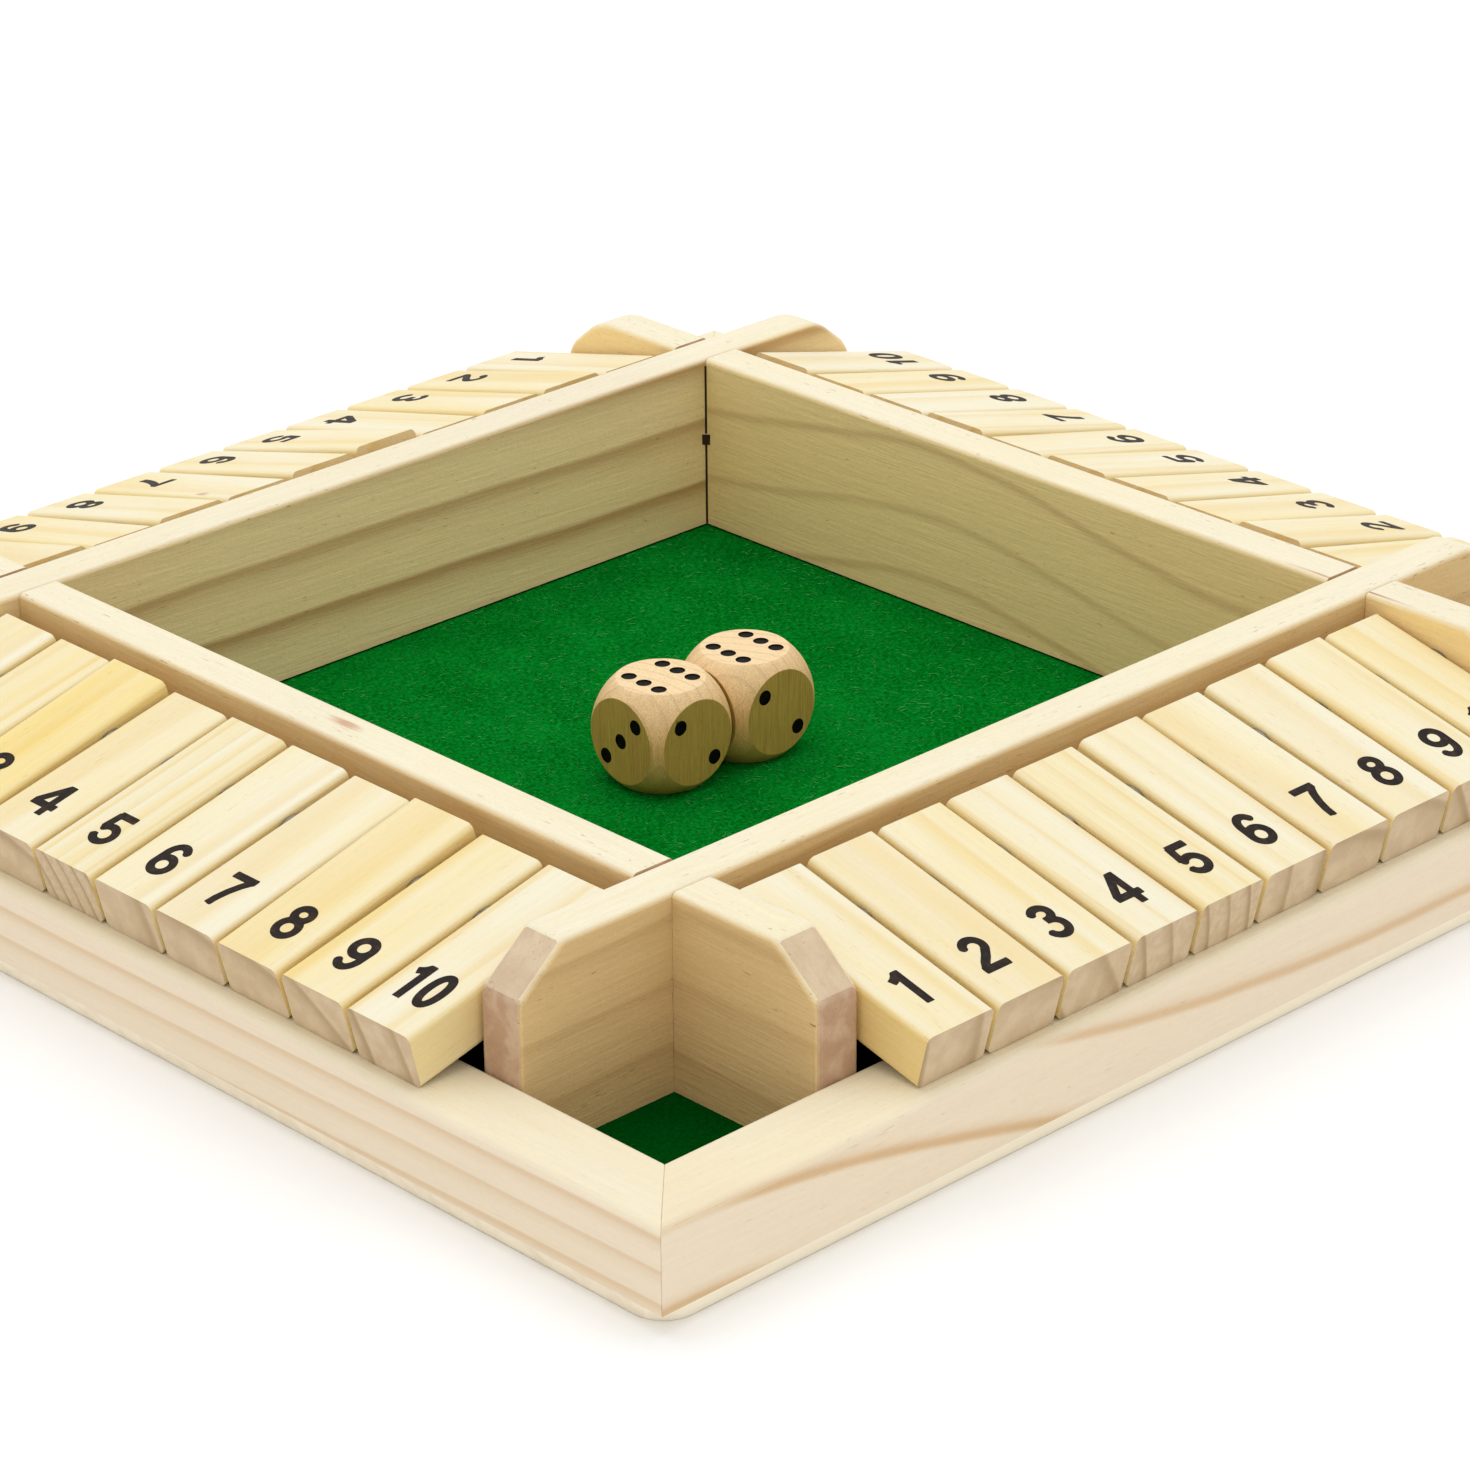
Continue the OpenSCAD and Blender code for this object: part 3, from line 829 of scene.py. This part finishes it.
# the strokes of each figure, as points across and up
figures = {
    1: [[(0.55, 0), (0.55, TALL)], [(0.5, 6.75), (0.1, 6.2), (-0.5, 5.68), (-1.25, 5.35)]],
    2: [arc(0, 5.0, 1.55, 1.48, 172, -38) + [(0.2, 2.9), (-0.9, 1.9), (-1.55, 1.05), (-1.6, 0.6)],
        [(-2.25, 0.63), (2.25, 0.63)]],
    3: [arc(-0.02, 5.2, 1.42, 1.28, 165, -82) + [(-0.45, 3.9)],
        [(-0.45, 3.9)] + arc(-0.02, 2.22, 1.62, 1.62, 82, -165)],
    4: [[(0.95, 0), (0.95, TALL)], [(0.75, 6.75), (-1.95, 2.35)], [(-2.45, 2.15), (2.35, 2.15)]],
    5: [[(-1.45, 6.47), (1.95, 6.47)], [(-1.1, 6.6), (-1.5, 3.45)],
        [(-1.55, 3.35)] + arc(0.02, 2.3, 1.65, 1.68, 140, -165)],
    6: [arc(0.04, 2.25, 1.6, 1.63, 0, 360, 30),
        [(-1.56, 2.4), (-1.5, 3.7)] + arc(0.1, 4.3, 1.58, 2.2, 170, 33)],
    7: [[(-2.15, 6.47), (2.2, 6.47)], [(1.75, 6.5), (0.75, 4.9), (0.05, 3.2), (-0.4, 1.5), (-0.55, 0)]],
    8: [arc(0, 5.25, 1.36, 1.24, 0, 360, 30), arc(0, 2.25, 1.62, 1.64, 0, 360, 30)],
}
figures[9] = [[(-x, TALL - y) for x, y in line] for line in figures[6]]


def inked(x, y, strokes):
    """How far each point lies outside the strokes, in millimetres, and negative inside them."""
    outside = np.full(x.shape, 9.0)
    for line in strokes:
        closed = math.dist(line[0], line[-1]) < SAME_SPOT
        for k, (a, b) in enumerate(zip(line, line[1:])):
            length = math.dist(a, b)
            ux, uy = (b[0] - a[0]) / length, (b[1] - a[1]) / length
            along = (x - a[0]) * ux + (y - a[1]) * uy
            beside = np.abs((y - a[1]) * ux - (x - a[0]) * uy)
            before, after = np.maximum(-along, 0), np.maximum(along - length, 0)
            gap = np.hypot(beside, np.maximum(before, after)) - STROKE / 2
            if k == 0 and not closed:
                gap = np.where(before > 0, np.maximum(beside - STROKE / 2, before), gap)
            if k == len(line) - 2 and not closed:
                gap = np.where(after > 0, np.maximum(beside - STROKE / 2, after), gap)
            outside = np.minimum(outside, gap)
    return outside


def number_skin(number):
    """The inked shape of a number in its own plane, closed and as thick as the ink."""
    if number == 10:
        one = [[(x * 0.92 - 2.6, y) for x, y in line] for line in figures[1]]
        strokes = one + [arc(1.72, TALL / 2, 1.3, 2.93, 90, 450, 40, 2.2)]
    else:
        strokes = figures[number]
    xs = np.arange(-HALF_WIDE, HALF_WIDE, CELL)
    ys = np.arange(TALL / 2 - HALF_HIGH, TALL / 2 + HALF_HIGH, CELL)
    field = inked(*np.meshgrid(xs, ys, indexing="ij"), strokes)
    ink = bmesh.new()
    corners, crossings = {}, {}

    def corner(i, j):
        if (i, j) not in corners:
            corners[i, j] = ink.verts.new((xs[i], ys[j] - TALL / 2, 0))
        return corners[i, j]

    def crossing(p, q):
        key = (p, q) if p < q else (q, p)
        if key not in crossings:
            (a, b), (fa, fb) = key, (field[key[0]], field[key[1]])
            t = min(max(fa / (fa - fb), 0.02), 0.98)
            crossings[key] = ink.verts.new((
                xs[a[0]] + (xs[b[0]] - xs[a[0]]) * t,
                ys[a[1]] + (ys[b[1]] - ys[a[1]]) * t - TALL / 2, 0))
        return crossings[key]

    for i in range(len(xs) - 1):
        for j in range(len(ys) - 1):
            square = [(i, j), (i + 1, j), (i + 1, j + 1), (i, j + 1)]
            if min(field[c] for c in square) >= 0:
                continue
            outline = []
            for p, q in zip(square, square[1:] + square[:1]):
                if field[p] < 0:
                    outline.append(corner(*p))
                if (field[p] < 0) != (field[q] < 0):
                    outline.append(crossing(p, q))
            if len(outline) > 2:
                ink.faces.new(outline)
    bmesh.ops.dissolve_limit(
        ink, angle_limit=math.radians(1), verts=ink.verts, edges=ink.edges, delimit=set())
    bmesh.ops.triangulate(ink, faces=ink.faces[:])
    lifted = bmesh.ops.extrude_face_region(ink, geom=ink.faces[:])
    for vert in (item for item in lifted["geom"] if isinstance(item, bmesh.types.BMVert)):
        vert.co.z = INK_PROUD + INK_DEEP
    bmesh.ops.recalc_face_normals(ink, faces=ink.faces)
    return mesh_of("number %d" % number, ink)


# Stamped ink: slightly uneven, thinner where the grain of the wood stands up
stamped_ink, given, taken = new_group(
    "stamped ink",
    [("Full ink", "Color", shade(30, 22, 18)), ("Thin ink", "Color", shade(62, 46, 34))])
place = own_place(stamped_ink)
thin = grit(stamped_ink, place, (0.00045, 0.004, 0.0006), 3.0)
mottle = grit(stamped_ink, place, (0.0012, 0.0012, 0.0012))
thinning = ramp(stamped_ink, times(stamped_ink, add(stamped_ink, thin, mottle), 0.5), 0.45, 0.7)
feed(stamped_ink, taken["Colour"], blend_of(stamped_ink, thinning, given["Full ink"], given["Thin ink"]))
feed(stamped_ink, taken["Roughness"], ramp(stamped_ink, thin, 0.2, 0.8, 0.4, 0.7, "LINEAR"))
feed(stamped_ink, taken["Height"], thin)
ink_black = finish_with("number ink", stamped_ink, {}, gloss=0.12, relief=0.00005, strength=0.3)

# how far out from the bore, and how far to the right, each number was stamped, and which strayed
stamp_place = {1: (15.5, -0.8), 2: (15.4, -0.5), 3: (15.4, -0.6), 4: (15.6, 0.0), 5: (15.7, 0.4),
               6: (15.9, 0.1), 7: (16.0, 0.2), 8: (16.0, 0.5), 9: (16.0, 0.7), 10: (15.8, 0.1)}
stamp_drift = {("left", 7): -0.3, ("left", 9): -0.9, ("front", 10): 0.7, ("back", 4): 0.4,
               ("right", 8): -0.5}
for i in range(1, TILE_COUNT + 1):
    skin = number_skin(i)
    for row in ROWS:
        bore, right, outwards, above, top = tile_lie(row, i)
        out, aside = stamp_place[i]
        aside += stamp_drift.get((row, i), 0.0)
        centre = bore + outwards * out + right * aside + above * (top - INK_DEEP)
        number = shown("number_%s_%d" % (row, i), skin.copy())
        turned = Matrix((right, -outwards, above)).transposed().to_4x4()
        number.data.transform(Matrix.Scale(0.001, 4) @ Matrix.Translation(centre) @ turned)
        number.data.materials.append(ink_black)
        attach(number, "tile_%s_%d" % (row, i))


# ------------------------------------------------------------------ Dice
# The real pieces are two beech dice, turned round at the corners between six flat faces, with
# black painted cups for pips. Their grain stands upright, so end grain shows on top.

dice_beech = finish_with("dice beech", pine, {
    "Pale wood": shade(230, 186, 124), "Yellow wood": shade(212, 160, 94),
    "Ring wood": shade(170, 120, 70), "Shaded side wood": shade(182, 152, 72), "Flat fading": 0.0,
    "Wander": 1.0, "Streaks": 1.2, "Fibres": 0.85, "Fuzz": 0.35, "Dashes": 1.0,
    "End wood": shade(252, 223, 174), "End cover": 0.85, "End rings": 1.0}, gloss=0.35)

paint, given, taken = new_group(
    "cup paint",
    [("Paint", "Color", shade(11, 8, 7)), ("Rubbed paint", "Color", shade(28, 21, 17))])
rubbed = grit(paint, own_place(paint), (0.0005, 0.0005, 0.0005), 3.0)
feed(paint, taken["Colour"], blend_of(
    paint, ramp(paint, rubbed, 0.45, 0.75), given["Paint"], given["Rubbed paint"]))
feed(paint, taken["Roughness"], ramp(paint, rubbed, 0.2, 0.8, 0.3, 0.6, "LINEAR"))
feed(paint, taken["Height"], rubbed)
pip_black = finish_with("pip paint", paint, {}, gloss=0.05, relief=0.00005, strength=0.3)

DIE_HALF, CUP_DEEP, CUPS_WITHIN = 0.008, 0.00016, 0.0061  # cups lie this near a flat's middle
SIDE_FLAT, FOOT_FLAT = 0.95, -0.97                        # which way the flats look
RING_SOFTNESS = 0.3
die_turn = math.radians(-1.5)


def in_cup(point, slack=0.0):
    """Whether a point of a die, seen from the die's middle, lies in one of its pips."""
    for axis in range(3):
        depth = DIE_HALF - abs(point[axis])
        reach = math.hypot(point[(axis + 1) % 3], point[(axis + 2) % 3])
        if -1e-5 + slack < depth < CUP_DEEP and reach < CUPS_WITHIN:
            return True
    return False


def wood_at(flat, bent):
    """How much end grain a spot of a die shows, how far it is spared painted shade, and how soft its
    rings are.

    flat is the way the face looks and bent the way the rounded surface looks. The side flats and
    the lower half of the round are painted in shade.
    """
    if out_from_middle(flat) > SIDE_FLAT:
        return 0.0, 0.0, RING_SOFTNESS
    if FOOT_FLAT < bent.z < 0:
        return 0.0, max(1 + 1.1 * bent.z, 0.2), RING_SOFTNESS
    return limited((abs(bent.z) - 0.1) / 0.85), 1.0, RING_SOFTNESS


for number in (1, 2):
    node = "die_%d" % number
    low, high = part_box(node)
    middle = (low + high) / 2
    square_up = Matrix.Rotation(-die_turn, 3, "Z")
    on_cup = lambda edge: all(in_cup(square_up @ (v.co - middle)) for v in edge.verts)
    die = broken_edges("beech_" + node, node, soften=0.00022, spare=on_cup)
    from_the_log(die, UP, square_up.inverted() @ Vector((0.8, 0.6, 0)), serial=90 + number,
                 spacing=2.2, line=0.8, slope=0.03, tone=0.3, side=20 - 9 * number,
                 rings=(0.22, RING_SOFTNESS), side_shade=1.0)
    die.data.attributes.remove(die.data.attributes["facing"])
    # these facing values paint shade on the side flats and the lower half of the round
    keep_values(die, "facing", "CORNER", [
        wood_at(square_up @ face.normal, die.data.corner_normals[k].vector)
        for face in die.data.polygons for k in face.loop_indices])
    die.data.materials.append(dice_beech)
    die.data.materials.append(pip_black)
    for face in die.data.polygons:
        if in_cup(square_up @ (face.center - middle), slack=3e-5):
            face.material_index = 1
    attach(die, node)


# ------------------------------------------------------------------ Brads
# The real pieces are small steel brads, driven up through the base board into the rails and
# dividers. Their heads lie just below the underside.

brads = broken_edges("steel_brads", "base_brads", soften=0.00006)
brads.data.materials.append(metal("bright steel", {
    "Bright metal": shade(176, 174, 170), "Dull metal": shade(110, 104, 98), "Smoothness": 0.34}))
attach(brads, "board")


# ------------------------------------------------------------------ Floor, light and camera
# A plain white table top, one large soft lamp high above and a little behind the board, and
# white surroundings. The camera looks past the near corner, from above.

FLOOR = 6.0  # half its width
floor_mesh = bpy.data.meshes.new("white_floor")
floor_mesh.from_pydata(
    [(-FLOOR, -FLOOR, 0), (FLOOR, -FLOOR, 0), (FLOOR, FLOOR, 0), (-FLOOR, FLOOR, 0)], [], [(0, 1, 2, 3)])
floor = shown("white_floor", floor_mesh)
table_white = bpy.data.materials.new("table white")
table_white.use_nodes = True
for label, value in (
        ("Base Color", (0.97, 0.97, 0.97, 1)), ("Roughness", 0.8), ("Specular IOR Level", 0.1)):
    table_white.node_tree.nodes["Principled BSDF"].inputs[label].default_value = value
floor.data.materials.append(table_white)

lamp_data = bpy.data.lights.new("overhead lamp", "AREA")
lamp_data.shape = "SQUARE"
lamp_data.size = 1.4
lamp_data.energy = 6.0
lamp = shown("overhead lamp", lamp_data)
lamp.location = (0.15, 0.22, 1.3)
lamp.rotation_euler = (Vector((0, 0, 0)) - lamp.location).to_track_quat("-Z", "Y").to_euler()

world = bpy.data.worlds.new("white room")
bpy.context.scene.world = world
world.use_nodes = True
sky = world.node_tree.nodes["Background"].inputs
sky["Color"].default_value, sky["Strength"].default_value = (1, 1, 1, 1), 0.9
bpy.context.scene.view_settings.view_transform = "Standard"
bpy.context.scene.view_settings.look = "None"

IMAGE_WIDTH, FOCUS_PIXELS = 1470, 5034.8
yaw, pitch, roll = (math.radians(v) for v in (43.846, 24.576, -0.475))
ahead = Vector((math.sin(yaw) * math.cos(pitch), math.cos(yaw) * math.cos(pitch), -math.sin(pitch)))
level = Vector((math.cos(yaw), -math.sin(yaw), 0))
upright = level.cross(ahead)
sideways = level * math.cos(roll) + upright * math.sin(roll)
upright = upright * math.cos(roll) - level * math.sin(roll)
camera_data = bpy.data.cameras.new("camera")
camera_data.sensor_fit = "HORIZONTAL"
camera_data.sensor_width = 36.0
camera_data.lens = 36.0 * FOCUS_PIXELS / IMAGE_WIDTH
camera_data.clip_start, camera_data.clip_end = 0.01, 50.0
camera = shown("camera", camera_data)
pose = Matrix((sideways, upright, -ahead)).transposed().to_4x4()
pose.translation = (-0.4679, -0.4961, 0.3196)
camera.matrix_world = pose
bpy.context.scene.camera = camera

bpy.context.view_layer.update()
